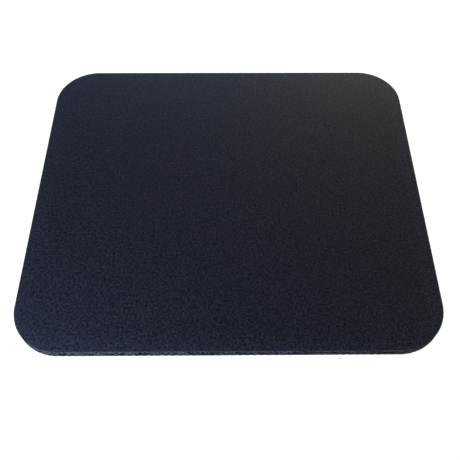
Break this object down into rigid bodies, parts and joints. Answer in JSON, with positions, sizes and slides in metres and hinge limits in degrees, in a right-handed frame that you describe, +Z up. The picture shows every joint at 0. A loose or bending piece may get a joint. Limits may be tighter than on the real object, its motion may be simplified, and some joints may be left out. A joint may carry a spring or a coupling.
{
  "type": "mouse pad",
  "caption": "Flat rectangular mouse pad with round corners: a knitted cloth face bonded to a slab of sponge rubber with a moulded non-slip underside.",
  "frame": {"origin": "middle of the underside, on the face that rests on the desk", "axes": "+X along the long side, +Y to the far edge, +Z up out of the cloth face"},
  "size_m": [0.2286, 0.2032, 0.0058],
  "materials": {
    "grip_rubber": "matt moulded rubber with a fine raised grid",
    "sponge_rubber": "cut sponge rubber with small broken cells",
    "adhesive": "dull cured adhesive film",
    "knitted_cloth": "fine close-knit polyester, matt with a slight sheen at low angles"
  },
  "bodies": {
    "root": {"grip_skin": "grip_rubber", "foam_core": "sponge_rubber", "bond_film": "adhesive", "cloth_top": "knitted_cloth"}
  },
  "joints": []
}
